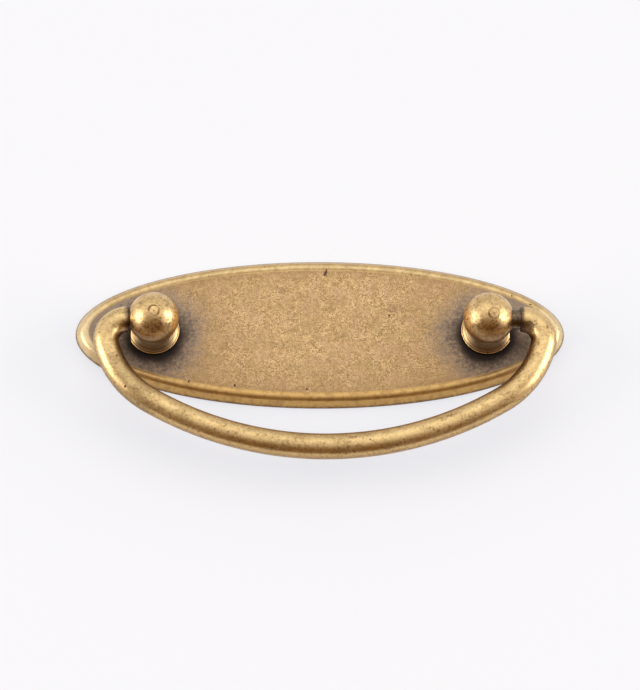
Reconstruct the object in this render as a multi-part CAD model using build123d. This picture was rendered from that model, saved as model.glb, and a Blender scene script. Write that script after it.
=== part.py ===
from build123d import *
import math
import os

# Oval plate handle for a drawer: an elliptical backplate with a raised rim, two turned
# ball posts fixed to it, and a bail that swings in cross holes in the posts.
# Millimetres. The origin is the centre of the backplate's flat back. +X runs along the
# plate, +Z stands out of its face, and the bail hangs towards -Y, parallel to the plate.

# Backplate, cast with a flat back. It reaches past the axis of each post by its end reach,
# and its rim stands above its face.
post_spacing = 64.0
plate_end_reach = 15.05
plate_width = 30.0
face_height = 2.2
rim_rise = 0.1
rim_width = 2.6
rim_crest_inset = 1.85
rim_corner_radius = 1.1
rim_root_depth = 0.03
field_lap = 0.15
back_edge_break = 0.15

# Posts, turned from bar. The ball's rise is from the top of the foot to its middle.
foot_diameter = 9.8
foot_thickness = 1.0
foot_land = 0.22
foot_edge_round = 0.08
neck_diameter = 6.0
ball_diameter = 9.7
ball_rise = 6.65
flat_depth = 0.5
pip_diameter = 2.0
pip_groove_width = 0.22
pip_groove_depth = 0.07
pip_centre_diameter = 0.36
pip_lean_left = (3.0, 1.6)
pip_lean_right = (8.4, 8.8)

# Fixing of the posts: a tenon through the plate, spread into a countersink at the back
tenon_diameter = 6.4
tenon_clearance = 0.04
stake_width = 0.5
stake_recess = 0.1

# Screw hole in each post, tapped M4 from the back (its wall is at the tapping size). The
# floor is the least metal left between its point and the cross hole.
tapped_diameter = 3.3
tapped_floor = 0.5
tapped_mouth_chamfer = 0.35
drill_point_angle = 118.0

# Bail, one round rod with its ends turned in and reduced to spigots. The cross holes are
# drilled a little below the middle of the balls. The bail has some side play between the
# posts, and lies a little to the right of the middle.
cross_hole_drop = 0.85
bail_diameter = 4.92
bail_drop = 25.6
bail_stub = 0.25
bail_end_radius = 4.2
bail_lean = 13.5
bail_shoulder_radius = 17.7
bail_end_break = 0.2
bail_side_play = 1.88
bail_shift = 0.74
spigot_diameter = 3.9
spigot_length = 5.2
spigot_end_chamfer = 0.35
spigot_clearance = 0.08
spigot_hole_spare = 0.6

# Sizes that follow from those above
plate_length = post_spacing + 2 * plate_end_reach
rim_height = face_height + rim_rise
foot_top = face_height + foot_thickness
ball_height = foot_top + ball_rise
ball_radius = ball_diameter / 2
flat_from_axis = ball_radius - flat_depth
pivot_height = ball_height - cross_hole_drop
cross_hole_diameter = spigot_diameter + 2 * spigot_clearance
tapped_point = tapped_diameter / 2 / math.tan(math.radians(drill_point_angle / 2))
tapped_depth = pivot_height - cross_hole_diameter / 2 - tapped_floor - tapped_point
bail_shoulder_x = post_spacing / 2 + flat_from_axis + bail_side_play / 2
cross_hole_depth = spigot_length - bail_side_play / 2 + bail_shift + spigot_hole_spare


def rim_section(outline):
    """Section of the rim, from the outline inwards: a drafted wall, a round corner up to the
    crest, and a soft fall to just under the face."""
    inward = Plane(origin=outline @ 0, x_dir=(-1, 0, 0), z_dir=outline % 0)
    corner_height = rim_height - rim_corner_radius
    rise = corner_height - back_edge_break
    to_corner = math.hypot(rim_crest_inset, rise)
    wall_angle = math.atan2(rise, rim_crest_inset) + math.asin(rim_corner_radius / to_corner)
    wall_length = math.sqrt(to_corner**2 - rim_corner_radius**2)
    wall_top = (wall_length * math.cos(wall_angle), back_edge_break + wall_length * math.sin(wall_angle))
    corner_middle = (
        rim_crest_inset - rim_corner_radius * math.sin(wall_angle / 2),
        corner_height + rim_corner_radius * math.cos(wall_angle / 2),
    )
    crest = (rim_crest_inset, rim_height)
    root = (rim_width, face_height - rim_root_depth)
    halfway = (rim_crest_inset + rim_width) / 2
    with BuildSketch(inward) as section:
        with BuildLine():
            Polyline(root, (rim_width, 0), (back_edge_break, 0), (0, back_edge_break), wall_top)
            ThreePointArc(wall_top, corner_middle, crest)
            Bezier(crest, (halfway, rim_height), (halfway, root[1]), root)
        make_face()
    return section.sketch


def make_backplate():
    """Elliptical plate: a flat face inside a swept rim, with a countersunk hole for each tenon."""
    outline = Edge.make_ellipse(plate_length / 2, plate_width / 2)
    rim = sweep(rim_section(outline), path=outline)
    field_inset = rim_crest_inset + field_lap
    field_outline = Ellipse(plate_length / 2 - field_inset, plate_width / 2 - field_inset)
    plate = rim + extrude(field_outline, face_height)
    for side in (-1, 1):
        plate -= Pos(side * post_spacing / 2, 0, 0) * tenon_shape(tenon_clearance, 0.0)
    return plate


def tenon_shape(clearance, recess):
    """Round tenon that flares towards the plate's back, grown by a clearance all round."""
    radius = tenon_diameter / 2 + clearance
    flare_radius = radius + stake_width
    with BuildPart() as tenon:
        with BuildSketch(Plane.XZ):
            with BuildLine():
                Polyline(
                    (0, recess),
                    (flare_radius - recess, recess),
                    (radius, stake_width),
                    (radius, face_height),
                    (0, face_height),
                    close=True,
                )
            make_face()
        revolve(axis=Axis.Z)
    return tenon.part


def turned_post():
    """Post before drilling: tenon, foot with a sharp land, hollow flare and ball head."""
    foot_radius = foot_diameter / 2
    neck_radius = neck_diameter / 2
    land_radius = foot_radius - foot_land
    neck_top = ball_height - math.sqrt(ball_radius**2 - neck_radius**2)
    flare_run = land_radius - neck_radius
    flare_rise = neck_top - foot_top
    flare_radius = (flare_run**2 + flare_rise**2) / (2 * flare_run)
    half_turn = math.atan2(flare_run, flare_rise)
    flare_middle = (
        neck_radius + flare_radius * (1 - math.cos(half_turn)),
        neck_top - flare_radius * math.sin(half_turn),
    )
    ball_side = (ball_radius, ball_height)
    ball_top = (0, ball_height + ball_radius)
    with BuildPart() as body:
        with BuildSketch(Plane.XZ):
            with BuildLine():
                Polyline(
                    (0, face_height),
                    (foot_radius, face_height),
                    (foot_radius, foot_top - foot_edge_round),
                    (foot_radius - foot_edge_round, foot_top),
                    (land_radius, foot_top),
                )
                ThreePointArc((land_radius, foot_top), flare_middle, (neck_radius, neck_top))
                ThreePointArc((neck_radius, neck_top), ball_side, ball_top)
                Line(ball_top, (0, face_height))
            make_face()
        revolve(axis=Axis.Z)
    return body.part + tenon_shape(0.0, stake_recess)


def pip_mark(lean):
    """Cutter for the lathe mark at the top of the ball, a ring and a centre point, leaning off
    the pole by two angles, about X and about Y."""
    ring_radius = pip_diameter / 2
    ring_height = math.sqrt(ball_radius**2 - ring_radius**2)
    ring_band = Circle(ring_radius + pip_groove_width / 2) - Circle(ring_radius - pip_groove_width / 2)
    ring = Pos(0, 0, ring_height - pip_groove_depth) * extrude(ring_band, pip_diameter)
    point_depth = pip_centre_diameter / 2
    dot = Pos(0, 0, ball_radius) * Cone(0, pip_centre_diameter, 2 * point_depth)
    about_x, about_y = lean
    return Pos(0, 0, ball_height) * Rot(about_x, about_y, 0) * (ring + dot)


def tapped_hole():
    """Cutter for the screw hole: chamfered mouth, wall at the tapping size, drill point."""
    tapped_radius = tapped_diameter / 2
    mouth_radius = tapped_radius + tapped_mouth_chamfer
    with BuildPart() as hole:
        with BuildSketch(Plane.XZ):
            with BuildLine():
                Polyline(
                    (0, 0),
                    (mouth_radius, 0),
                    (mouth_radius, stake_recess),
                    (tapped_radius, stake_recess + tapped_mouth_chamfer),
                    (tapped_radius, tapped_depth),
                    (0, tapped_depth + tapped_point),
                    close=True,
                )
            make_face()
        revolve(axis=Axis.Z)
    return hole.part


def make_post(side, pip_lean):
    """Post in its place, with the flat and the blind cross hole on its outer side."""
    post = turned_post()
    outer_side = Plane(origin=(side * flat_from_axis, 0, ball_height), z_dir=(side, 0, 0))
    hole_mouth = Plane(origin=(side * flat_from_axis, 0, pivot_height), z_dir=(side, 0, 0))
    post -= outer_side * extrude(Circle(ball_diameter), ball_diameter)
    post -= hole_mouth * extrude(Circle(cross_hole_diameter / 2), -cross_hole_depth)
    post -= hole_mouth * extrude(Circle(cross_hole_diameter / 2), ball_diameter)
    post -= pip_mark(pip_lean)
    post -= tapped_hole()
    return Pos(side * post_spacing / 2, 0, 0) * post


def bail_centreline():
    """Rod's centreline in the XY plane, from shoulder to shoulder, in tangent arcs.

    The end bends turn a little past square, so the legs lean in. One large arc joins the
    two shoulder arcs, and its radius follows from the drop.
    """
    lean = math.radians(bail_lean)
    bend_centre = Vector(bail_shoulder_x + bail_stub, -bail_end_radius)
    outward = Vector(math.cos(lean), -math.sin(lean))
    shoulder_centre = bend_centre + outward * (bail_end_radius - bail_shoulder_radius)
    reach = shoulder_centre.X
    fall = shoulder_centre.Y + bail_drop
    loop_radius = (reach**2 + fall**2 - bail_shoulder_radius**2) / (2 * (fall - bail_shoulder_radius))
    loop_half_turn = math.degrees(math.asin(reach / (loop_radius - bail_shoulder_radius)))
    end_turn = 90 + bail_lean
    shoulder_turn = 180 - end_turn - loop_half_turn
    with BuildLine() as line:
        stub = Line((bail_shoulder_x, 0), (bail_shoulder_x + bail_stub, 0))
        bend = JernArc(stub @ 1, stub % 1, bail_end_radius, -end_turn)
        shoulder = JernArc(bend @ 1, bend % 1, bail_shoulder_radius, -shoulder_turn)
        loop = JernArc(shoulder @ 1, shoulder % 1, loop_radius, -2 * loop_half_turn)
        far_shoulder = JernArc(loop @ 1, loop % 1, bail_shoulder_radius, -shoulder_turn)
        far_bend = JernArc(far_shoulder @ 1, far_shoulder % 1, bail_end_radius, -end_turn)
        Line(far_bend @ 1, (-bail_shoulder_x, 0))
    return line.wire()


def make_bail():
    """Swept rod with broken end edges and a chamfered spigot standing in from each."""
    centreline = bail_centreline()
    section = Plane(origin=centreline @ 0, z_dir=centreline % 0) * Circle(bail_diameter / 2)
    bail = sweep(section, path=centreline)
    for side in (-1, 1):
        end_face = bail.faces().sort_by_distance((side * bail_shoulder_x, 0, 0))[0]
        bail = chamfer(end_face.edges(), bail_end_break)
    for side in (-1, 1):
        seat = Plane(origin=(side * bail_shoulder_x, 0, 0), z_dir=(-side, 0, 0))
        spigot = extrude(Circle(spigot_diameter / 2), spigot_length)
        spigot = chamfer(spigot.edges().group_by(Axis.Z)[-1], spigot_end_chamfer)
        bail += seat * spigot
    return bail


def main():
    """Build the four pieces in place and write each to its own file."""
    os.makedirs("parts", exist_ok=True)
    export_step(make_backplate(), "parts/backplate.step")
    export_step(make_post(-1, pip_lean_left), "parts/post_left.step")
    export_step(make_post(1, pip_lean_right), "parts/post_right.step")
    export_step(Pos(bail_shift, 0, pivot_height) * make_bail(), "parts/bail.step")


main()
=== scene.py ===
"""Looks of an oval plate handle in aged brass, lying on its back on a pale table.

Lengths are in metres in the handle's own frame: the origin is the centre of the plate's
flat back, +X runs along the plate, +Z stands out of its face, and the bail lies to -Y.
"""
import logging
import math
from dataclasses import dataclass
from enum import Enum
from functools import cache, cached_property, reduce

import bmesh
import bpy
from bpy.types import Material, Node, NodeSocket, NodeTree, Object
from mathutils import Matrix, Vector


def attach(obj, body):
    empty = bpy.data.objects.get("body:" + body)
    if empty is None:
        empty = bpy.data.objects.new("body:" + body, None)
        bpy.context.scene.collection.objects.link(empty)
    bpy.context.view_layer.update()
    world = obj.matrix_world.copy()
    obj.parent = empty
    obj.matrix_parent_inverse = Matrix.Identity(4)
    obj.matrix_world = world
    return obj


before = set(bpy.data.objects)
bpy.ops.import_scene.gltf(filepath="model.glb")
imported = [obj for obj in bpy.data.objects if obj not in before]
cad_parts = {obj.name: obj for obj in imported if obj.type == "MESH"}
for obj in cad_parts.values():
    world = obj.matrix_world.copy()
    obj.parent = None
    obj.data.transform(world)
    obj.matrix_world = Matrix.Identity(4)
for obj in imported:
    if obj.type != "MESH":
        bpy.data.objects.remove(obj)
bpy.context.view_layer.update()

LOG = logging.getLogger("plate_handle")

Vec3 = tuple[float, float, float]
Socket = NodeSocket
NO_SHIFT: Vec3 = (0.0, 0.0, 0.0)
NO_STRETCH: Vec3 = (1.0, 1.0, 1.0)


class Slot(Enum):
    """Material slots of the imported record, one for each finish."""

    PLATE = "aged_cast_brass"
    POST = "turned_brass"
    BAIL = "handled_brass"


class Side(Enum):
    """The two ends of the handle, by their sign along X."""

    LEFT = -1
    RIGHT = 1


def tone(*display: int) -> tuple[float, float, float, float]:
    """Turn a display colour, each channel up to 255, into the linear colour of shaders."""
    shares = (channel / 255 for channel in display)
    return *(part / 12.92 if part <= 0.04045 else ((part + 0.055) / 1.055) ** 2.4 for part in shares), 1.0


def in_metres(point: Vec3) -> Vec3:
    """Turn millimetres into metres."""
    return tuple(value / 1000 for value in point)


class NodeSheet:
    """Thin layer over a node tree, so that a finish reads as a list of steps."""

    def __init__(self, tree: NodeTree) -> None:
        """Keep the tree that the nodes go into."""
        self.tree = tree

    def add(self, kind: str, **settings: object) -> Node:
        """Add a node and set its properties.

        Args:
            kind: Blender's name of the node type.
            settings: Properties of the node by name.

        Returns:
            The new node.
        """
        node = self.tree.nodes.new(kind)
        for name, value in settings.items():
            setattr(node, name, value)
        return node

    def feed(self, target: Socket, source: object) -> None:
        """Link a socket to a source, or give it a plain value.

        Args:
            target: Input socket.
            source: Output socket, number, vector or colour.
        """
        if isinstance(source, NodeSocket):
            self.tree.links.new(source, target)
        else:
            target.default_value = source

    def feed_all(self, node: Node, values: tuple | dict) -> Node:
        """Feed several inputs of a node.

        Args:
            node: The node.
            values: Sockets or plain values, in the order of the inputs or by number or name.

        Returns:
            The same node.
        """
        for key, value in values.items() if isinstance(values, dict) else enumerate(values):
            self.feed(node.inputs[key], value)
        return node

    def place(self) -> Socket:
        """Position on the piece, in object coordinates."""
        return self.add("ShaderNodeTexCoord").outputs["Object"]

    def split(self, vector: Socket) -> tuple[Socket, Socket, Socket]:
        """Components of a vector, X, Y and Z."""
        return tuple(self.feed_all(self.add("ShaderNodeSeparateXYZ"), (vector,)).outputs)

    def join(self, x: object, y: object, z: object) -> Socket:
        """Vector from three numbers or sockets."""
        return self.feed_all(self.add("ShaderNodeCombineXYZ"), (x, y, z)).outputs[0]

    def maths(self, operation: str, *values: object, clamp: bool = False) -> Socket:
        """Arithmetic on numbers.

        Args:
            operation: Blender's name of the operation.
            values: Numbers or sockets, in order.
            clamp: Whether the result is held between 0 and 1.

        Returns:
            The result's socket.
        """
        node = self.add("ShaderNodeMath", operation=operation, use_clamp=clamp)
        return self.feed_all(node, values).outputs[0]

    def plus(self, *values: object) -> Socket:
        """Sum of two or more numbers."""
        return reduce(lambda total, value: self.maths("ADD", total, value), values)

    def minus(self, value: object, less: object) -> Socket:
        """Difference of two numbers."""
        return self.maths("SUBTRACT", value, less)

    def times(self, *values: object) -> Socket:
        """Product of two or more numbers."""
        return reduce(lambda total, value: self.maths("MULTIPLY", total, value), values)

    def size(self, value: object) -> Socket:
        """A number without its sign."""
        return self.maths("ABSOLUTE", value)

    def most(self, one: object, other: object) -> Socket:
        """The larger of two numbers."""
        return self.maths("MAXIMUM", one, other)

    def vector(self, operation: str, *values: object) -> Socket:
        """Arithmetic on vectors.

        Args:
            operation: Blender's name of the operation.
            values: Vectors or sockets, in order.

        Returns:
            The result's socket: a number for a length or a dot product, else a vector.
        """
        node = self.feed_all(self.add("ShaderNodeVectorMath", operation=operation), values)
        return node.outputs["Value" if operation in ("LENGTH", "DOT_PRODUCT") else "Vector"]

    def ramp(
        self, value: object, start: object, end: object, low: float = 0.0, high: float = 1.0,
        soft: bool = True,
    ) -> Socket:
        """Step of a number from one range to another.

        Args:
            value: Number socket.
            start: Value that gives low.
            end: Value that gives high.
            low: Result up to start.
            high: Result from end on.
            soft: Whether the step is rounded at both ends.

        Returns:
            The result's socket.
        """
        node = self.add("ShaderNodeMapRange", interpolation_type="SMOOTHSTEP" if soft else "LINEAR")
        return self.feed_all(node, (value, start, end, low, high)).outputs["Result"]

    def step(self, value: object, step: "Step") -> Socket:
        """A named step along a value."""
        return self.ramp(value, step.start, step.end, step.low, step.high)

    def blend(self, share: object, under: object, over: object) -> Socket:
        """Mix two colours.

        Args:
            share: How much of the second colour, as number or socket.
            under: First colour.
            over: Second colour.

        Returns:
            The colour socket.
        """
        node = self.add("ShaderNodeMix", data_type="RGBA", blend_type="MIX", clamp_factor=True)
        return self.feed_all(node, {0: share, 6: under, 7: over}).outputs[2]

    def noise(self, vector: Socket, scale: object, detail: object = 2.0, rough: float = 0.5) -> Socket:
        """Noise value around a half.

        Args:
            vector: Where it is read.
            scale: Blobs to the metre.
            detail: Number of finer layers.
            rough: Strength of the finer layers.

        Returns:
            The value's socket.
        """
        values = {"Vector": vector, "Scale": scale, "Detail": detail, "Roughness": rough}
        return self.feed_all(self.add("ShaderNodeTexNoise"), values).outputs["Fac"]

    def sway(self, vector: Socket, scale: float, detail: float, rough: float = 0.5) -> Socket:
        """Noise value around zero."""
        return self.minus(self.noise(vector, scale, detail, rough), 0.5)

    def effect(self, group: NodeTree, **values: object) -> Socket:
        """Place an effect group with its own values.

        Args:
            group: The node group.
            values: Inputs by name.

        Returns:
            The group's mask.
        """
        return self.feed_all(self.add("ShaderNodeGroup", node_tree=group), values).outputs["Mask"]


class GroupSheet(NodeSheet):
    """Sheet of an effect group, with its inputs by name and one output called Mask."""

    def __init__(self, name: str, numbers: dict[str, float], vectors: dict[str, Vec3]) -> None:
        """Start the group.

        Args:
            name: Name of the group.
            numbers: Number inputs with their starting values.
            vectors: Vector inputs with their starting values.
        """
        super().__init__(bpy.data.node_groups.new(name, "ShaderNodeTree"))
        sockets = self.tree.interface
        for kind, inputs in (("NodeSocketFloat", numbers), ("NodeSocketVector", vectors)):
            for key, value in inputs.items():
                sockets.new_socket(key, in_out="INPUT", socket_type=kind).default_value = value
        sockets.new_socket("Mask", in_out="OUTPUT", socket_type="NodeSocketFloat")
        entry = self.add("NodeGroupInput")
        self.given = {key: entry.outputs[key] for key in (*numbers, *vectors)}

    def put_out(self, mask: Socket) -> NodeTree:
        """Give the mask out, and hand over the group."""
        self.feed(self.add("NodeGroupOutput").inputs["Mask"], mask)
        return self.tree


class EffectLibrary:
    """Surface effects of the brass finishes, each a node group built once."""

    def __init__(self) -> None:
        """Build every group."""
        self.mottle = self._mottle()
        self.specks = self._specks()
        self.blemish = self._blemish()
        self.hairlines = self._hairlines()

    @staticmethod
    def _mottle() -> NodeTree:
        """Cloudy patches of any size.

        Returns:
            The group.
        """
        numbers = {"Scale": 300.0, "Detail": 2.0, "Low": 0.4, "High": 0.6}
        sheet = GroupSheet("mottle", numbers, {"Shift": NO_SHIFT, "Stretch": NO_STRETCH})
        given = sheet.given
        moved = sheet.vector("ADD", sheet.place(), given["Shift"])
        spread = sheet.vector("MULTIPLY", moved, given["Stretch"])
        value = sheet.noise(spread, given["Scale"], given["Detail"], 0.6)
        return sheet.put_out(sheet.ramp(value, given["Low"], given["High"], soft=False))

    @staticmethod
    def _specks() -> NodeTree:
        """Small round spots, thinly strewn and of uneven size.

        Returns:
            The group.
        """
        sheet = GroupSheet("specks", {"Scale": 900.0, "Size": 0.3, "Share": 0.2}, {"Shift": NO_SHIFT})
        given = sheet.given
        moved = sheet.vector("ADD", sheet.place(), given["Shift"])
        # Pushed about by half a cell, so that no spot is quite round
        wander = {"Vector": moved, "Scale": sheet.times(given["Scale"], 1.6), "Detail": 1.0}
        wander = sheet.feed_all(sheet.add("ShaderNodeTexNoise"), wander).outputs["Color"]
        wander = sheet.vector("SUBTRACT", wander, (0.5, 0.5, 0.5))
        push = {0: wander, "Scale": sheet.maths("DIVIDE", 0.55, given["Scale"])}
        push = sheet.feed_all(sheet.add("ShaderNodeVectorMath", operation="SCALE"), push).outputs[0]
        cells = {"Vector": sheet.vector("ADD", moved, push), "Scale": given["Scale"]}
        cells = sheet.feed_all(sheet.add("ShaderNodeTexVoronoi"), cells)
        chance, girth, _ = sheet.split(cells.outputs["Color"])
        kept = sheet.maths("LESS_THAN", chance, given["Share"])
        reach = sheet.times(given["Size"], sheet.ramp(girth, 0.0, 1.0, 0.4, 1.0))
        spot = sheet.ramp(sheet.maths("DIVIDE", cells.outputs["Distance"], reach), 1.0, 0.4)
        return sheet.put_out(sheet.times(spot, kept))

    @staticmethod
    def _blemish() -> NodeTree:
        """One mark at a given place, with a ragged edge.

        Returns:
            The group.
        """
        vectors = {"Centre": NO_SHIFT, "Size": (0.001, 0.001, 0.001)}
        sheet = GroupSheet("blemish", {"Turn": 0.0, "Edge": 0.5}, vectors)
        given = sheet.given
        turn = {"Vector": sheet.vector("SUBTRACT", sheet.place(), given["Centre"]), "Angle": given["Turn"]}
        turned = sheet.feed_all(sheet.add("ShaderNodeVectorRotate", rotation_type="Z_AXIS"), turn)
        far = sheet.vector("LENGTH", sheet.vector("DIVIDE", turned.outputs[0], given["Size"]))
        ragged = sheet.plus(far, sheet.times(sheet.sway(sheet.place(), 1800.0, 3.0), given["Edge"]))
        return sheet.put_out(sheet.ramp(ragged, 1.1, 0.6))

    @staticmethod
    def _hairlines() -> NodeTree:
        """Fine scratches where a stretched noise passes through its middle value.

        Returns:
            The group.
        """
        vectors = {"Stretch": (1.0, 8.0, 8.0), "Shift": NO_SHIFT}
        sheet = GroupSheet("hairlines", {"Scale": 300.0, "Width": 0.02}, vectors)
        given = sheet.given
        moved = sheet.vector("ADD", sheet.place(), given["Shift"])
        spread = sheet.vector("MULTIPLY", moved, given["Stretch"])
        away = sheet.size(sheet.sway(spread, given["Scale"], 1.0))
        line = sheet.maths("SUBTRACT", 1.0, sheet.maths("DIVIDE", away, given["Width"]), clamp=True)
        gate = sheet.ramp(sheet.noise(moved, 220.0, 1.0), 0.5, 0.62)
        return sheet.put_out(sheet.times(line, gate))


@dataclass(frozen=True)
class BrassTones:
    """Colours that the aged brass of this handle goes through, from polished to black."""

    cream: tuple = tone(252, 234, 190)
    bright: tuple = tone(240, 210, 154)
    straw: tuple = tone(246, 214, 154)
    ball_light: tuple = tone(246, 215, 158)
    ball_deep: tuple = tone(206, 166, 107)
    sand_light: tuple = tone(238, 203, 149)
    sand_deep: tuple = tone(156, 121, 82)
    golden: tuple = tone(222, 187, 128)
    tan: tuple = tone(200, 164, 112)
    ochre: tuple = tone(214, 168, 94)
    blush: tuple = tone(206, 164, 136)
    khaki: tuple = tone(170, 138, 92)
    olive: tuple = tone(160, 134, 84)
    brown: tuple = tone(158, 123, 84)
    rose: tuple = tone(146, 108, 98)
    plum: tuple = tone(134, 124, 119)
    smoke: tuple = tone(126, 108, 84)
    moss: tuple = tone(122, 100, 62)
    red_brown: tuple = tone(118, 78, 46)
    umber: tuple = tone(112, 88, 70)
    pit: tuple = tone(80, 56, 52)
    stain: tuple = tone(74, 50, 34)
    dark: tuple = tone(72, 61, 58)
    black: tuple = tone(38, 32, 36)


TONES = BrassTones()


@dataclass(frozen=True)
class Mark:
    """One pit or stain that the photograph shows, by its place and size in millimetres."""

    centre: Vec3
    size: Vec3
    turn: float = 0.0
    edge: float = 0.5
    strength: float = 0.85


@dataclass(frozen=True, kw_only=True)
class Look:
    """In which colour something shows on the brass, and how strongly."""

    tint: tuple = TONES.brown
    strength: float = 1.0


@dataclass(frozen=True)
class Clouds(Look):
    """Cloudy patches: blobs to the metre, finer layers, noise where they start and are full."""

    scale: float
    detail: float
    low: float
    high: float
    shift: Vec3 = NO_SHIFT
    stretch: Vec3 = NO_STRETCH

    def mask(self, sheet: NodeSheet, effects: EffectLibrary) -> Socket:
        """Where the patches are."""
        values = {"Scale": self.scale, "Detail": self.detail, "Low": self.low, "High": self.high}
        return sheet.effect(effects.mottle, Shift=self.shift, Stretch=self.stretch, **values)


@dataclass(frozen=True)
class Dots(Look):
    """Small spots: cells to the metre, radius in cells, share of cells that have one."""

    scale: float
    size: float
    share: float
    shift: Vec3 = NO_SHIFT

    def mask(self, sheet: NodeSheet, effects: EffectLibrary) -> Socket:
        """Where the spots are."""
        values = {"Scale": self.scale, "Size": self.size, "Share": self.share}
        return sheet.effect(effects.specks, Shift=self.shift, **values)


@dataclass(frozen=True)
class Step(Look):
    """A change along a measure: where it starts and ends, and its result there."""

    start: float
    end: float
    low: float = 0.0
    high: float = 1.0


class BrassFinish(NodeSheet):
    """What every brass finish shares: its material, its shader and the place on the piece."""

    def __init__(self, slot: Slot, effects: EffectLibrary) -> None:
        """Make a plain metal material.

        Args:
            slot: The slot that it fills.
            effects: The shared effects.
        """
        self.material = bpy.data.materials.new(slot.value + "_finish")
        self.material.use_nodes = True
        super().__init__(self.material.node_tree)
        self.tree.nodes.clear()
        self.effects = effects
        self.shader = self.add("ShaderNodeBsdfPrincipled")
        self.feed(self.shader.inputs["Metallic"], 1.0)
        self.feed(self.add("ShaderNodeOutputMaterial").inputs["Surface"], self.shader.outputs["BSDF"])
        self.at = self.place()
        self.x, self.y, self.z = self.split(self.at)

    @cache
    def mask(self, layer: Clouds | Dots) -> Socket:
        """Where a layer shows, made once for each layer."""
        return layer.mask(self, self.effects)

    def lay(self, colour: Socket, look: Look, mask: Socket | None = None) -> Socket:
        """Lay a look over a colour, in its tint and at its strength.

        Args:
            colour: The colour below.
            look: What is laid.
            mask: Where it is laid, if not where its own mask says.

        Returns:
            The colour socket.
        """
        mask = self.mask(look) if mask is None else mask
        return self.blend(self.times(mask, look.strength), colour, look.tint)

    def marks(self, marks: tuple[Mark, ...]) -> Socket:
        """Mask of single marks, all together.

        Args:
            marks: The marks.

        Returns:
            The mask's socket.
        """
        spots = []
        for mark in marks:
            values = {"Centre": in_metres(mark.centre), "Size": in_metres(mark.size), "Edge": mark.edge}
            spot = self.effect(self.effects.blemish, Turn=math.radians(mark.turn), **values)
            spots.append(self.times(spot, mark.strength))
        return reduce(self.most, spots)

    def complete(self, colour: Socket, rough: Socket, height: Socket, depth: float) -> Material:
        """Give the shader its colour, roughness and bumped normal.

        Args:
            colour: Base colour.
            rough: Roughness.
            height: Height of the surface from 0 to 1.
            depth: What a height of 1 measures, in metres.

        Returns:
            The finished material.
        """
        bump = {"Strength": 1.0, "Distance": depth, "Height": height}
        bump = self.feed_all(self.add("ShaderNodeBump"), bump).outputs["Normal"]
        self.feed_all(self.shader, {"Base Color": colour, "Roughness": rough, "Normal": bump})
        return self.material


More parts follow.
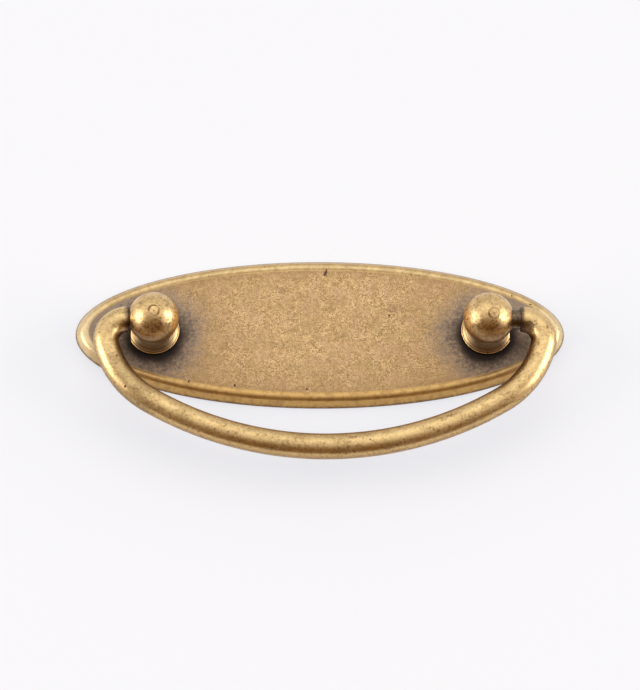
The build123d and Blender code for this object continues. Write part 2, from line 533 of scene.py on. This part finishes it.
class CastFinish(BrassFinish):
    """Tumbled cast brass of the backplate: a sandy face, worn rim and dark recesses, with painted shade
    round the feet and along the rim and painted highlights on the rim.
    """

    half_length: float = 0.04705
    half_width: float = 0.015
    crest_inset: float = 0.00185
    post_x: float = 0.032
    # The grain: fine and coarse together, calmed in places
    fine: Clouds = Clouds(3600.0, 2.0, 0.25, 0.75)
    coarse: Clouds = Clouds(1500.0, 3.0, 0.28, 0.72, (0.3, 0.1, 0.2))
    fine_share: float = 0.68
    calm: Clouds = Clouds(360.0, 2.0, 0.42, 0.6, (0.7, 0.4, 0.2))
    calming: Step = Step(0.0, 1.0, 1.1, 0.6)
    grain_mean: float = 0.49
    grain_range: tuple = (0.30, 0.68)
    face_layers: tuple = (
        Clouds(520.0, 5.0, 0.47, 0.62, (0.3, 0.8, 0.6), tint=TONES.olive, strength=0.34),
        Clouds(230.0, 3.0, 0.4, 0.68, (0.1, 0.7, 0.0), tint=TONES.khaki, strength=0.3),
        Clouds(330.0, 2.0, 0.46, 0.66, (0.9, 0.2, 0.4), tint=TONES.blush, strength=0.24),
        Dots(2700.0, 0.45, 0.3, (0.0, 0.3, 0.1), tint=TONES.bright, strength=0.65),
        Dots(1500.0, 0.34, 0.16, (0.2, 0.0, 0.1), strength=0.3),
    )
    # Duller outward, toward the lower side and into the corner of the rim
    duller: Step = Step(0.010, 0.026, strength=0.3)
    lower: Step = Step(-0.004, -0.0125, strength=0.3)
    corner: Step = Step(0.005, 0.0026, 0.0, 0.36)
    corner_ragged: float = 0.0008
    # The film round the feet, partly painted shade of the balls and feet dropped toward the front: how far
    # it drops, how far its edge wanders and crumbles, and where it thins out
    film_and_shadow_drop: float = 0.0009
    wander: tuple = (260.0, 4.0, 0.6)
    crumbs: tuple = (1500.0, 3.0, 0.7)
    film_ragged: tuple = (0.006, 0.009)
    ends_ragged: tuple = (0.008, 0.012)
    black_wander: float = 0.0015
    broad: Step = Step(0.0125, 0.006, tint=TONES.plum, strength=0.68)
    middle: Step = Step(0.0084, 0.0052, tint=TONES.dark, strength=0.5)
    black: Step = Step(0.0066, 0.0046, tint=TONES.black, strength=0.85)
    ends: Step = Step(0.027, 0.0375)
    # Grains that stand proud of the film and are rubbed bright
    proud: Dots = Dots(1900.0, 0.44, 0.3, (0.4, 0.2, 0.1), tint=TONES.golden, strength=0.5)
    # The rim, rubbed bright along its crest and given a painted highlight there that grows toward the far
    # side, and dark where it meets the table, partly as painted shade
    rim_edge: Step = Step(0.00272, 0.0023)
    streaks: Clouds = Clouds(1500.0, 3.0, 0.3, 0.7, (0.5, 0.5, 0.1))
    crest: Step = Step(0.0009, 0.0002)
    crest_ragged: float = 0.0003
    far_crest: Step = Step(-0.002, 0.008, 0.4, 0.85)
    cloudy: Clouds = Clouds(420.0, 5.0, 0.45, 0.62, (0.6, 0.3, 0.2), strength=0.36)
    olive: Clouds = Clouds(800.0, 4.0, 0.48, 0.6, (0.8, 0.1, 0.5), tint=TONES.olive, strength=0.3)
    # Painted highlight: the rim's tips are painted cream where they catch the side lamps
    tips: Step = Step(0.0405, 0.0455, tint=TONES.cream, strength=0.4)
    specks: Dots = Dots(1200.0, 0.34, 0.3, (0.1, 0.1, 0.4), tint=TONES.red_brown, strength=0.7)
    # Painted shade: the rim's near side is painted ochre with olive clouds
    nearer: Step = Step(-0.004, -0.013, strength=0.6)
    foot: Step = Step(0.0011, 0.0003, tint=TONES.umber, strength=0.9)
    foot_ragged: float = 0.0004
    # The back: the cast skin, ground flat, with grinding lines along the plate
    back: Step = Step(0.00012, 0.00004)
    ground: Clouds = Clouds(900.0, 3.0, 0.2, 0.8, (0.2, 0.4, 0.6), (0.05, 5.0, 1.0))
    back_clouds: Look = Look(strength=0.25)
    back_specks: Look = Look(tint=TONES.red_brown, strength=0.5)
    pits: tuple = (
        Mark((1.1, 12.0, 2.2), (0.34, 0.85, 0.6), turn=24.0, edge=0.7, strength=0.85),
        Mark((-25.3, -10.2, 2.2), (0.22, 0.3, 0.6)),
        Mark((-16.5, -11.0, 2.2), (0.24, 0.28, 0.6), strength=0.95),
        Mark((-2.7, -11.8, 2.2), (0.2, 0.24, 0.6), strength=0.95),
        Mark((13.35, 3.25, 2.2), (0.24, 0.18, 0.6), strength=0.95),
        Mark((37.0, 7.3, 2.3), (0.2, 0.2, 0.6)),
        Mark((40.6, 5.5, 2.3), (0.24, 0.16, 0.6)),
    )
    stains: tuple = (
        Mark((-7.3, 8.2, 2.2), (0.7, 1.0, 1.0), turn=-20.0, edge=1.6, strength=0.35),
        Mark((14.2, 4.6, 2.2), (1.6, 1.2, 1.0), edge=2.0, strength=0.25),
    )
    # Roughness, what grain and film add and the rim takes; height of grains and pits
    rough: float = 0.46
    rough_grain: float = 0.1
    rough_rim: float = 0.1
    rough_film: float = 0.08
    fine_height: float = 0.45
    rim_height: Step = Step(0.0, 1.0, 1.0, 0.3)
    pit_depth: float = 4.0
    depth: float = 0.000022

    @cached_property
    def inward(self) -> Socket:
        """Distance in from the elliptical outline, in metres.

        Returns:
            The distance's socket.
        """
        level, steep = (
            self.vector("LENGTH", self.join(
                self.maths("DIVIDE", self.x, self.half_length**power),
                self.maths("DIVIDE", self.y, self.half_width**power),
                0.0,
            ))
            for power in (1, 2)
        )
        rise = self.maths("DIVIDE", steep, self.most(level, 0.001))
        return self.maths("DIVIDE", self.minus(1.0, level), self.most(rise, 1.0))

    @cached_property
    def films_and_shade(self) -> tuple[Socket, Socket, Socket]:
        """Dark film where handling never reached: round the feet and in the narrow ends. Round the feet it
        is partly painted shade of the balls and feet, dropped toward the front.

        Returns:
            Masks of the broad film, the middle one and the black one next to the feet, all partly painted
            shade near the feet.
        """
        wander, crumbs = self.sway(self.at, *self.wander), self.sway(self.at, *self.crumbs)
        reach = self.size(self.x)
        across = self.plus(self.y, self.film_and_shadow_drop)
        from_post = self.vector("LENGTH", self.join(self.minus(reach, self.post_x), across, 0.0))
        ragged, ends = (
            self.plus(measure, self.times(wander, wide), self.times(crumbs, crumbly))
            for measure, (wide, crumbly) in ((from_post, self.film_ragged), (reach, self.ends_ragged))
        )
        even = self.plus(from_post, self.times(wander, self.black_wander))
        broad = self.most(self.step(ragged, self.broad), self.step(ends, self.ends))
        return broad, self.step(ragged, self.middle), self.step(even, self.black)

    def sand(self) -> Socket:
        """Colour of the tumbled face, before any film.

        Returns:
            The colour socket.
        """
        fine = self.times(self.mask(self.fine), self.fine_share)
        grain = self.plus(fine, self.times(self.mask(self.coarse), 1.0 - self.fine_share))
        calm = self.step(self.mask(self.calm), self.calming)
        grain = self.plus(self.times(self.minus(grain, self.grain_mean), calm), self.grain_mean)
        lit = self.ramp(grain, *self.grain_range, soft=False)
        return reduce(self.lay, self.face_layers, self.blend(lit, TONES.sand_deep, TONES.sand_light))

    def face(self) -> Socket:
        """The flat face inside the rim, with its films and the painted shade round the feet.

        Returns:
            The colour socket.
        """
        broad, middle, black = self.films_and_shade
        duller = self.step(self.size(self.x), self.duller)
        colour = self.lay(self.sand(), self.duller, duller)
        colour = self.lay(colour, self.lower, self.step(self.y, self.lower))
        corner = self.plus(self.inward, self.times(self.mask(self.coarse), self.corner_ragged))
        colour = self.blend(self.step(corner, self.corner), colour, self.corner.tint)
        # Partly painted shade: the films round the feet darken the face where the balls and feet shade it,
        # over real dark lacquer; the film in the narrow ends is patina
        colour = self.lay(colour, self.broad, broad)
        edge = self.times(self.minus(1.0, middle), self.most(broad, duller))
        colour = self.lay(colour, self.proud, self.times(self.mask(self.proud), edge))
        colour = self.lay(self.lay(colour, self.middle, middle), self.black, black)
        return self.blend(self.marks(self.stains), colour, TONES.rose)

    def rim(self) -> Socket:
        """The raised rim.

        Returns:
            The colour socket.
        """
        coarse, olive = self.mask(self.coarse), self.mask(self.olive)
        from_crest = self.size(self.minus(self.inward, self.crest_inset))
        crest = self.step(self.plus(from_crest, self.times(coarse, self.crest_ragged)), self.crest)
        colour = self.blend(self.mask(self.streaks), TONES.tan, TONES.golden)
        # Painted highlight: the rubbed crest is painted brighter toward the far side
        colour = self.blend(self.times(crest, self.step(self.y, self.far_crest)), colour, TONES.bright)
        colour = self.lay(self.lay(colour, self.cloudy), self.olive)
        # Painted highlight: the rim's tips are painted cream where they catch the side lamps
        colour = self.lay(colour, self.tips, self.step(self.size(self.x), self.tips))
        colour = self.lay(colour, self.specks)
        # Painted shade: the rim's near side is painted ochre with olive clouds
        nearer = self.times(self.step(self.y, self.nearer), self.nearer.strength)
        colour = self.blend(nearer, colour, TONES.ochre)
        colour = self.lay(colour, self.nearer, self.times(olive, nearer))
        # Partly patina and partly painted shade: the rim's lowest band, where it meets the table, is
        # painted umber
        foot = self.step(self.plus(self.z, self.times(coarse, self.foot_ragged)), self.foot)
        return self.lay(colour, self.foot, foot)

    def build(self) -> Material:
        """Make the material.

        Returns:
            The finished material.
        """
        fine, coarse, pits = self.mask(self.fine), self.mask(self.coarse), self.marks(self.pits)
        on_rim = self.step(self.inward, self.rim_edge)
        colour = self.blend(on_rim, self.face(), self.rim())
        colour = self.blend(pits, colour, TONES.pit)
        skin = self.blend(self.mask(self.ground), TONES.tan, TONES.golden)
        skin = self.lay(skin, self.back_clouds, self.mask(self.cloudy))
        skin = self.lay(skin, self.back_specks, self.mask(self.specks))
        colour = self.blend(self.step(self.z, self.back), colour, skin)
        rough = self.plus(self.rough, self.times(fine, self.rough_grain))
        rough = self.minus(rough, self.times(on_rim, self.rough_rim))
        rough = self.plus(rough, self.times(self.films_and_shade[1], self.rough_film))
        fine = self.times(fine, self.fine_height)
        height = self.plus(fine, self.times(coarse, 1.0 - self.fine_height))
        height = self.times(height, self.step(on_rim, self.rim_height))
        height = self.minus(height, self.times(pits, self.pit_depth))
        return self.complete(colour, rough, height, self.depth)


class TurnedFinish(BrassFinish):
    """Turned and rubbed brass of the posts: golden ball, dark flare with tool lines and painted shade
    below the ball.
    """

    post_x: float = 0.032
    ball_z: float = 0.00985
    grain: Clouds = Clouds(2400.0, 3.0, 0.28, 0.72)
    clouds: Clouds = Clouds(700.0, 4.0, 0.44, 0.7, strength=0.55)
    gather: Clouds = Clouds(420.0, 2.0, 0.42, 0.6, (0.2, 0.6, 0.1), strength=0.8)
    blots: Clouds = Clouds(1700.0, 4.0, 0.5, 0.6, (0.4, 0.1, 0.3), tint=TONES.red_brown, strength=0.6)
    specks: Dots = Dots(2300.0, 0.42, 0.2, tint=TONES.dark, strength=0.9)
    spots: Dots = Dots(1300.0, 0.26, 0.36, (0.3, 0.3, 0.3), tint=TONES.dark, strength=0.75)
    # Film on the ball's lower front, which no cloth reaches behind the bail
    lean: float = 0.8
    ragged: float = 0.0008
    film: Step = Step(0.0021, -0.0004, strength=0.32)
    flank: Step = Step(0.0012, 0.0034)
    lowest: Step = Step(-0.0008, -0.0026, tint=TONES.red_brown, strength=0.5)
    dirty: Step = Step(0.0044, 0.0016)
    # Ring mark of the lathe at the top of each ball, rubbed away in places
    ring_centres: tuple = ((-31.865, -0.254, 14.691), (32.742, -0.700, 14.591))
    ring_radius: float = 0.00101
    ring_width: Step = Step(0.00024, 0.0001)
    ring_noise: tuple = (560.0, 3.0)
    ring_rubbed: Step = Step(0.42, 0.56, 0.3, 0.85)
    # Below the ball: a dark film with tool lines, painted darker across the flare's middle as shade and
    # left light at the sides that face the lamps, a rubbed edge on the foot, a black foot wall that is
    # partly painted shade where it meets the plate
    line_noise: tuple = (8000.0, 2.0)
    lines: Step = Step(0.4, 0.6)
    front: Step = Step(0.0046, 0.0034, strength=0.76)
    below: Step = Step(0.00685, 0.00565)
    land: Step = Step(0.00468, 0.0048)
    wall: Step = Step(0.0031, 0.00295)
    outside: Step = Step(0.0044, 0.0047)
    # The tenon's end, hammered over at the plate's back
    tenon: Step = Step(0.0008, 0.0004)
    nicks: tuple = (
        Mark((32.05, -4.75, 3.2), (0.1, 0.4, 0.5), edge=0.2, strength=0.9),
        Mark((-31.2, -4.2, 8.6), (0.5, 0.4, 0.4), edge=1.4, strength=0.4),
    )
    # Roughness, then what clouds, grain and flare add; height of grain, specks and tool lines
    rough: tuple = (0.28, 0.14, 0.06, 0.04)
    heights: tuple = (0.6, 0.8, 1.2)
    depth: float = 0.000008

    @cached_property
    def beside(self) -> Socket:
        """Distance from the post's axis along the handle."""
        return self.minus(self.size(self.x), self.post_x)

    def ball(self) -> Socket:
        """The ball, rubbed golden on top.

        Returns:
            The colour socket.
        """
        clouds = self.mask(self.clouds)
        colour = self.blend(self.mask(self.grain), TONES.ball_deep, TONES.ball_light)
        colour = self.lay(colour, self.clouds)
        under = self.plus(
            self.minus(self.z, self.ball_z), self.times(self.y, self.lean),
            self.times(self.minus(clouds, 0.5), self.ragged),
        )
        film = self.times(self.step(under, self.film), self.film.strength)
        flank = self.step(self.size(self.beside), self.flank)
        colour = self.blend(film, colour, self.blend(flank, TONES.red_brown, TONES.moss))
        colour = self.lay(colour, self.lowest, self.step(under, self.lowest))
        gather = self.times(self.mask(self.gather), self.gather.strength)
        darker = self.most(gather, self.step(under, self.dirty))
        for layer in (self.blots, self.specks):
            colour = self.lay(colour, layer, self.times(self.mask(layer), darker))
        return self.blend(self.ring(), self.lay(colour, self.spots), TONES.red_brown)

    def ring(self) -> Socket:
        """Dirt in the ring mark.

        Returns:
            The mask's socket.
        """
        far = [
            self.vector("LENGTH", self.vector("SUBTRACT", self.at, in_metres(centre)))
            for centre in self.ring_centres
        ]
        off = self.size(self.minus(self.maths("MINIMUM", *far), self.ring_radius))
        rubbed = self.step(self.noise(self.at, *self.ring_noise), self.ring_rubbed)
        return self.times(self.step(off, self.ring_width), rubbed)

    def build(self) -> Material:
        """Make the material.

        Returns:
            The finished material.
        """
        grain, clouds, specks = (self.mask(layer) for layer in (self.grain, self.clouds, self.specks))
        lines = self.step(self.noise(self.join(0.0, 0.0, self.z), *self.line_noise), self.lines)
        from_axis = self.vector("LENGTH", self.join(self.beside, self.y, 0.0))
        # Patina and painted shade: the flare is darker across its middle, front and back, and lighter at
        # the sides that face the lamps
        reach = self.plus(self.size(self.beside), self.times(clouds, self.ragged))
        front = self.times(self.step(reach, self.front), self.front.strength)
        low = self.blend(lines, TONES.brown, TONES.golden)
        low = self.blend(front, low, self.blend(lines, TONES.dark, TONES.smoke))
        below = self.step(self.z, self.below)
        colour = self.blend(below, self.ball(), low)
        colour = self.blend(self.times(self.step(from_axis, self.land), below), colour, TONES.golden)
        # Partly patina and partly painted shade: the foot's low wall, where it meets the plate, is painted
        # black
        wall = self.times(self.step(self.z, self.wall), self.step(from_axis, self.outside))
        colour = self.blend(wall, colour, TONES.black)
        colour = self.blend(self.marks(self.nicks), colour, TONES.dark)
        hammered = self.blend(clouds, TONES.golden, TONES.brown)
        colour = self.blend(self.step(self.z, self.tenon), colour, hammered)
        rough = self.plus(self.rough[0], *map(self.times, (clouds, grain, below), self.rough[1:]))
        grainy, speckled, lined = map(self.times, (grain, specks, self.times(lines, below)), self.heights)
        return self.complete(colour, rough, self.plus(self.minus(grainy, speckled), lined), self.depth)


class HandledFinish(BrassFinish):
    """Rubbed brass of the bail: golden, clouded with brown, dark where it meets the posts partly as
    painted shade, with painted shade on the loop's inner side.
    """

    shift_x: float = 0.00074
    grain: Clouds = Clouds(2200.0, 3.0, 0.28, 0.72)
    clouds: Clouds = Clouds(640.0, 5.0, 0.45, 0.62, stretch=(0.5, 0.9, 1.2), strength=0.3)
    olive: Clouds = Clouds(240.0, 3.0, 0.46, 0.66, (0.4, 0.1, 0.7), tint=TONES.olive, strength=0.25)
    # Film low on the rod's sides, left where fingers slide over the top
    film: Step = Step(0.0105, 0.0092, tint=TONES.red_brown, strength=0.55)
    film_ragged: float = 0.0006
    # Painted shade on the loop's inner side, which faces the plate
    inner_pull: tuple = (-0.46, -1.0)
    inner_shade: Step = Step(0.3, 1.0, 0.0, 0.58, tint=TONES.red_brown)
    # Small blots and spots, more of them in the clouds and low down
    blots: Clouds = Clouds(1900.0, 4.0, 0.5, 0.62, (0.4, 0.1, 0.3), tint=TONES.red_brown, strength=0.6)
    in_clouds: Step = Step(0.0, 1.0, 0.3, 1.0)
    low_down: Step = Step(0.0112, 0.0096, 0.0, 0.75)
    specks: Dots = Dots(2300.0, 0.42, 0.3, tint=TONES.red_brown, strength=0.6)
    flecks: Dots = Dots(900.0, 0.2, 0.3, (0.3, 0.3, 0.3), tint=TONES.dark, strength=0.7)
    scratches: dict = {"Scale": 260.0, "Width": 0.02}
    scratched: Look = Look(tint=TONES.bright, strength=0.3)
    # The ends: film on the shoulders' faces, partly painted shade in the gap against the balls, and worn
    # spigots
    ends_wander: tuple = (700.0, 4.0, 0.65)
    ends_ragged: float = 0.0014
    shoulder: Step = Step(0.0384, 0.0376, tint=TONES.dark, strength=0.85)
    shoulder_y: Step = Step(0.003, 0.0026)
    spigot: Step = Step(0.03728, 0.03722, strength=0.9)
    spigot_y: Step = Step(0.0026, 0.0024)
    spigot_worn: Step = Step(0.1, 0.7)
    spots: tuple = (
        Mark((-37.3, -14.3, 11.2), (0.3, 0.22, 0.5), strength=0.95),
        Mark((17.0, -22.6, 10.9), (0.2, 0.2, 0.4)),
        Mark((9.0, -25.0, 11.3), (0.24, 0.18, 0.4)),
    )
    stains: tuple = (
        Mark((39.6, -2.1, 10.4), (1.8, 1.4, 1.4), edge=2.6, strength=0.7),
        Mark((38.6, -2.4, 9.4), (0.9, 0.6, 0.9), edge=1.0, strength=0.9),
        Mark((40.2, -4.2, 9.2), (0.9, 2.0, 1.2), edge=1.2, strength=0.85),
        Mark((40.6, -7.4, 9.9), (0.7, 2.0, 0.8), edge=1.6, strength=0.6),
        Mark((-37.4, -1.6, 10.6), (0.7, 0.9, 0.8), edge=1.6, strength=0.6),
        Mark((-38.2, -3.2, 9.2), (0.7, 1.2, 1.0), edge=1.2, strength=0.7),
        Mark((-38.7, -6.5, 9.7), (0.6, 1.9, 0.8), edge=1.6, strength=0.55),
        Mark((-36.3, -13.5, 10.5), (4.2, 9.0, 3.0), turn=-20.0, edge=1.2, strength=0.28),
    )
    # Roughness, then what clouds, grain and stains add; height of grain and specks
    rough: tuple = (0.27, 0.1, 0.08, 0.15)
    heights: tuple = (0.5, 0.9)
    depth: float = 0.000009

    def films_and_shade(self, colour: Socket) -> Socket:
        """Lay the film low on the rod's sides and the painted shade on the loop's inner side.

        Args:
            colour: The colour below.

        Returns:
            The colour socket.
        """
        clouds = self.minus(self.mask(self.clouds), 0.5)
        under = self.plus(self.z, self.times(clouds, self.film_ragged))
        colour = self.lay(colour, self.film, self.step(under, self.film))
        # Painted shade: surfaces whose normal points into the loop are painted red-brown
        toward = self.join(*map(self.times, (self.x, self.y), self.inner_pull), 0.0)
        facing = self.add("ShaderNodeTexCoord").outputs["Normal"]
        inside = self.vector("DOT_PRODUCT", facing, self.vector("NORMALIZE", toward))
        return self.blend(self.step(inside, self.inner_shade), colour, self.inner_shade.tint)

    def ends(self, colour: Socket) -> Socket:
        """Darken the rod's end faces and its spigots.

        Args:
            colour: The colour below.

        Returns:
            The colour socket.
        """
        across = self.size(self.y)
        beside = self.size(self.minus(self.x, self.shift_x))
        edge = self.plus(beside, self.times(self.sway(self.at, *self.ends_wander), self.ends_ragged))
        # Partly patina and partly painted shade: the rod's ends next to the balls are painted dark
        face = self.times(self.step(edge, self.shoulder), self.step(across, self.shoulder_y))
        pin = self.times(self.step(beside, self.spigot), self.step(across, self.spigot_y))
        worn = self.blend(self.step(self.mask(self.grain), self.spigot_worn), TONES.dark, TONES.smoke)
        colour = self.lay(colour, self.shoulder, face)
        return self.blend(self.times(pin, self.spigot.strength), colour, worn)

    def build(self) -> Material:
        """Make the material.

        Returns:
            The finished material.
        """
        grain, clouds, specks = (self.mask(layer) for layer in (self.grain, self.clouds, self.specks))
        stains = self.marks(self.stains)
        colour = self.blend(grain, TONES.golden, TONES.straw)
        colour = self.films_and_shade(self.lay(self.lay(colour, self.clouds), self.olive))
        gathers = self.most(self.step(clouds, self.in_clouds), self.step(self.z, self.low_down))
        colour = self.lay(colour, self.blots, self.times(self.mask(self.blots), gathers))
        colour = self.lay(self.lay(colour, self.specks), self.flecks)
        scratches = self.effect(self.effects.hairlines, **self.scratches)
        colour = self.lay(colour, self.scratched, scratches)
        colour = self.ends(self.blend(stains, colour, TONES.stain))
        colour = self.blend(self.marks(self.spots), colour, TONES.black)
        rough = self.plus(self.rough[0], *map(self.times, (clouds, grain, stains), self.rough[1:]))
        height = self.minus(*map(self.times, (grain, specks), self.heights))
        return self.complete(colour, rough, height, self.depth)


@dataclass
class Backplate:
    """The cast plate. Its shape is the CAD's, and it gets its finish here."""

    finish: CastFinish

    def dress(self) -> Object:
        """Put the finish on the CAD piece."""
        return dress_node("backplate", self.finish.build())


@dataclass
class ScrewThread:
    """Fine thread in the screw hole of one post: a low ridge that winds up the wall."""

    side: Side
    post_x: float = 0.032
    wall_radius: float = 0.001655
    ridge_height: float = 0.00011
    pitch: float = 0.0007
    flank: float = 0.36
    start_z: float = 0.0012
    end_z: float = 0.0052
    steps_per_turn: int = 40

    def shape(self) -> bmesh.types.BMesh:
        """Wind a triangular section up the hole and close both its ends.

        Returns:
            The ridge as a closed mesh.
        """
        ridge = bmesh.new()
        half = self.pitch * self.flank
        section = [
            ridge.verts.new((self.wall_radius, 0.0, self.start_z - half)),
            ridge.verts.new((self.wall_radius - self.ridge_height, 0.0, self.start_z)),
            ridge.verts.new((self.wall_radius, 0.0, self.start_z + half)),
        ]
        edges = [ridge.edges.new((section[index], section[index - 1])) for index in range(3)]
        turns = (self.end_z - self.start_z) / self.pitch
        steps = round(turns * self.steps_per_turn)
        wound = bmesh.ops.spin(
            ridge, geom=section + edges, cent=(0.0, 0.0, 0.0), axis=(0.0, 0.0, 1.0),
            dvec=(0.0, 0.0, (self.end_z - self.start_z) / steps), angle=2 * math.pi * turns,
            steps=steps, use_merge=False, use_duplicate=False,
        )
        ridge.faces.new(section)
        ridge.faces.new([item for item in wound["geom_last"] if isinstance(item, bmesh.types.BMVert)])
        bmesh.ops.remove_doubles(ridge, verts=ridge.verts, dist=1e-7)
        bmesh.ops.recalc_face_normals(ridge, faces=ridge.faces)
        bmesh.ops.translate(ridge, verts=ridge.verts, vec=(self.side.value * self.post_x, 0.0, 0.0))
        return ridge

    def build(self, material: Material) -> Object:
        """Make the ridge and fix it to the handle's base.

        Args:
            material: Finish of the post.

        Returns:
            The ridge's object.
        """
        piece = new_piece("screw_thread_" + self.side.name.lower(), self.shape(), material)
        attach(piece, "base")
        LOG.info("%s: %d faces, %s", piece.name, len(piece.data.polygons), material.name)
        return piece


@dataclass
class Posts:
    """The two turned posts, with the thread in their screw holes."""

    finish: TurnedFinish

    def dress(self) -> list[Object]:
        """Put one finish on both posts and cut their threads.

        Returns:
            The posts and the threads.
        """
        material = self.finish.build()
        posts = [dress_node("post_" + side.name.lower(), material) for side in Side]
        return posts + [ScrewThread(side).build(material) for side in Side]


@dataclass
class Bail:
    """The swinging bail."""

    finish: HandledFinish

    def dress(self) -> Object:
        """Put the finish on the CAD piece."""
        return dress_node("bail", self.finish.build())


def new_thing(name: str, data: bpy.types.ID) -> Object:
    """Put a new object into the scene, at the origin."""
    bpy.context.scene.collection.objects.link(thing := bpy.data.objects.new(name, data))
    return thing


def new_piece(name: str, shape: bmesh.types.BMesh, material: Material) -> Object:
    """Turn a finished shape into an object.

    Args:
        name: Its name.
        shape: Its faces, which are used up.
        material: Its finish.

    Returns:
        The object.
    """
    mesh = bpy.data.meshes.new(name)
    shape.to_mesh(mesh)
    shape.free()
    mesh.materials.append(material)
    return new_thing(name, mesh)


def dress_node(name: str, material: Material) -> Object:
    """Assign a material to every slot of a CAD piece.

    Args:
        name: Name of the CAD node.
        material: Its finish.

    Returns:
        The piece's object.
    """
    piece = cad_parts[name]
    for slot in piece.material_slots:
        slot.material = material
    LOG.info("%s: %d faces, %s", name, len(piece.data.polygons), material.name)
    return piece


@dataclass(frozen=True)
class Softbox:
    """A flat oval lamp that faces the handle from a distance."""

    name: str
    azimuth: float
    elevation: float
    width: float
    height: float
    radiance: float
    distance: float = 1.6

    def build(self) -> Object:
        """Hang the lamp, its power set by how bright its face is.

        Returns:
            The lamp's object.
        """
        lamp = bpy.data.lights.new(self.name, "AREA")
        lamp.shape = "ELLIPSE"
        lamp.size = self.width
        lamp.size_y = self.height
        lamp.energy = self.radiance * math.pi * math.pi / 4 * self.width * self.height
        turn, rise = math.radians(self.azimuth), math.radians(self.elevation)
        away = Vector((math.sin(turn) * math.cos(rise), math.cos(turn) * math.cos(rise), math.sin(rise)))
        thing = new_thing(self.name, lamp)
        thing.location = away * self.distance
        thing.rotation_euler = away.to_track_quat("Z", "Y").to_euler()
        return thing


@dataclass
class Studio:
    """Pale table, soft lamps, a dim room in front and the camera."""

    floor_half: float = 2.0
    floor_gap: float = 0.00005
    floor_tone: tuple = (0.48, 0.435, 0.375, 1.0)
    floor_lift: tuple = (0.452, 0.502, 0.588, 1.0)
    room_front: tuple = (0.19, 0.094, 0.026, 1.0)
    room_low: tuple = (0.76, 0.76, 0.76, 1.0)
    room_high: tuple = (1.24, 1.24, 1.24, 1.0)
    camera_at: Vec3 = (-0.021567, -0.301384, 0.836384)
    camera_aim: Vec3 = (-0.000027, -0.002007, 0.0)
    camera_up: Vec3 = (-0.0004, 0.9415, 0.3370)
    lens: float = 259.55
    softboxes: tuple = (
        Softbox("softbox_left", azimuth=-94.0, elevation=19.0, width=1.25, height=1.25, radiance=3.65),
        Softbox("softbox_right", azimuth=91.0, elevation=19.0, width=1.25, height=1.25, radiance=3.85),
        Softbox("overhead", azimuth=0.0, elevation=62.0, width=1.6, height=0.7, radiance=0.12),
    )

    def table(self) -> Object:
        """Lay the pale table under the handle.

        Its colour is lifted for the camera and in reflections, so that it shows nearly
        white but keeps the handle's shadow. It is clear from below, to show the back.

        Returns:
            The table's object.
        """
        shape = bmesh.new()
        bmesh.ops.create_grid(shape, x_segments=1, y_segments=1, size=self.floor_half)
        bmesh.ops.translate(shape, verts=shape.verts, vec=(0.0, 0.0, -self.floor_gap))
        material = bpy.data.materials.new("pale_table")
        material.use_nodes = True
        material.node_tree.nodes.clear()
        sheet = NodeSheet(material.node_tree)
        cloth = sheet.add("ShaderNodeBsdfDiffuse")
        cloth.inputs["Color"].default_value = self.floor_tone
        rays = sheet.add("ShaderNodeLightPath")
        seen = sheet.most(rays.outputs["Is Camera Ray"], rays.outputs["Is Glossy Ray"])
        seen = sheet.most(seen, rays.outputs["Is Transmission Ray"])
        lift = sheet.add("ShaderNodeEmission")
        lift.inputs["Color"].default_value = self.floor_lift
        sheet.feed(lift.inputs["Strength"], seen)
        both = sheet.feed_all(sheet.add("ShaderNodeAddShader"), (cloth.outputs[0], lift.outputs[0]))
        below = sheet.add("ShaderNodeNewGeometry").outputs["Backfacing"]
        clear = sheet.add("ShaderNodeBsdfTransparent").outputs[0]
        sides = sheet.feed_all(sheet.add("ShaderNodeMixShader"), (below, both.outputs[0], clear))
        sheet.feed(sheet.add("ShaderNodeOutputMaterial").inputs["Surface"], sides.outputs[0])
        thing = new_piece("table_top", shape, material)
        return thing

    def room(self) -> None:
        """Fill the room: pale behind and above the table, dim in front of it."""
        world = bpy.data.worlds.new("room")
        world.use_nodes = True
        bpy.context.scene.world = world
        world.node_tree.nodes.clear()
        sheet = NodeSheet(world.node_tree)
        _, back, up = sheet.split(sheet.add("ShaderNodeTexCoord").outputs["Generated"])
        height = sheet.blend(sheet.ramp(up, 0.2, 1.0), self.room_low, self.room_high)
        colour = sheet.blend(sheet.ramp(back, -0.75, 0.40), self.room_front, height)
        light = sheet.feed_all(sheet.add("ShaderNodeBackground"), (colour,))
        sheet.feed(sheet.add("ShaderNodeOutputWorld").inputs["Surface"], light.outputs[0])

    def camera(self) -> Object:
        """Stand the camera where the photograph was taken from.

        Returns:
            The camera's object.
        """
        lens = bpy.data.cameras.new("camera")
        lens.sensor_fit = "HORIZONTAL"
        lens.sensor_width = 36.0
        lens.lens = self.lens
        lens.clip_start = 0.01
        lens.clip_end = 20.0
        thing = new_thing("camera", lens)
        back = (Vector(self.camera_at) - Vector(self.camera_aim)).normalized()
        right = Vector(self.camera_up).cross(back).normalized()
        up = back.cross(right)
        turn = Matrix((right, up, back)).transposed()
        thing.matrix_world = Matrix.Translation(self.camera_at) @ turn.to_4x4()
        bpy.context.scene.camera = thing
        return thing

    def build(self) -> None:
        """Set the whole studio up."""
        self.camera()
        self.table()
        self.room()
        for softbox in self.softboxes:
            softbox.build()
        bpy.context.scene.view_settings.view_transform = "Standard"


def main() -> None:
    """Build the studio, then dress each sub-assembly in order."""
    logging.basicConfig(level=logging.INFO, format="%(name)s: %(message)s")
    Studio().build()
    effects = EffectLibrary()
    Backplate(CastFinish(Slot.PLATE, effects)).dress()
    Posts(TurnedFinish(Slot.POST, effects)).dress()
    Bail(HandledFinish(Slot.BAIL, effects)).dress()


if __name__ == "__main__":
    main()
